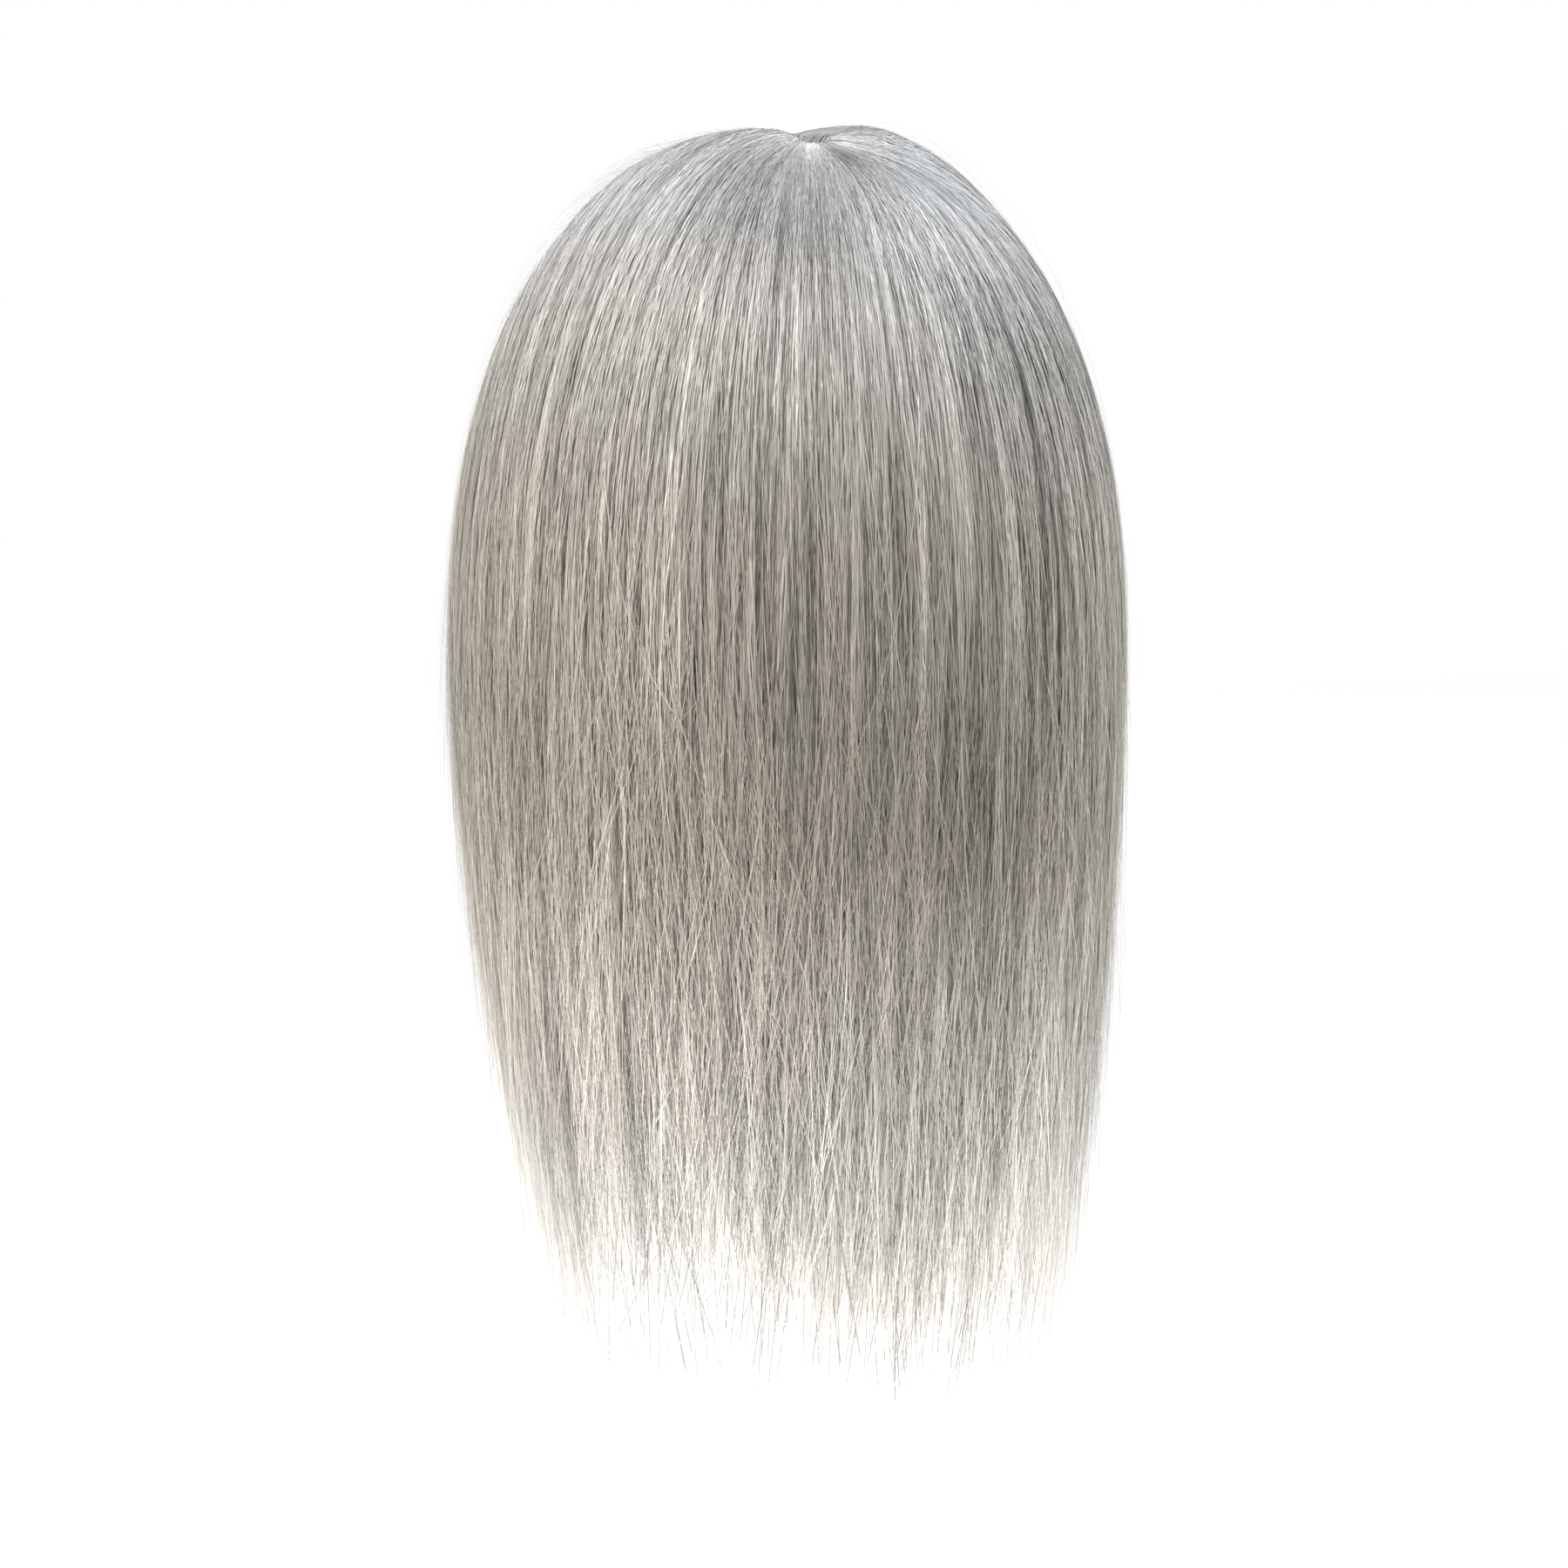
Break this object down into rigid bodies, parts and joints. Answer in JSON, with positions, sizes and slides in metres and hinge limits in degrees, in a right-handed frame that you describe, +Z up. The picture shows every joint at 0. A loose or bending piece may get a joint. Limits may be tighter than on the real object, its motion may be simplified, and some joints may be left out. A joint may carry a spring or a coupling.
{
  "type": "hair topper",
  "caption": "Straight grey hair topper with a middle parting and a crown whorl, hanging in ragged locks from a small domed base with clips.",
  "frame": {"origin": "the point on the crown of the head where the underside of the base sits", "axes": "+Z up, +X the wearer's left, +Y the back of the head, so the open face side is -Y"},
  "size_m": [0.1882, 0.1933, 0.3496],
  "materials": {
    "hair": "straight silver grey strands, light and dark mixed, soft gloss",
    "base_mesh": "fine pale net, matt",
    "clip_steel": "satin"
  },
  "bodies": {
    "root": {"base_cap": "base_mesh", "hair_left": "hair", "hair_right": "hair", "hair_back": "hair", "clip_front": "clip_steel", "clip_back": "clip_steel", "clip_left": "clip_steel", "clip_right": "clip_steel"}
  },
  "joints": []
}
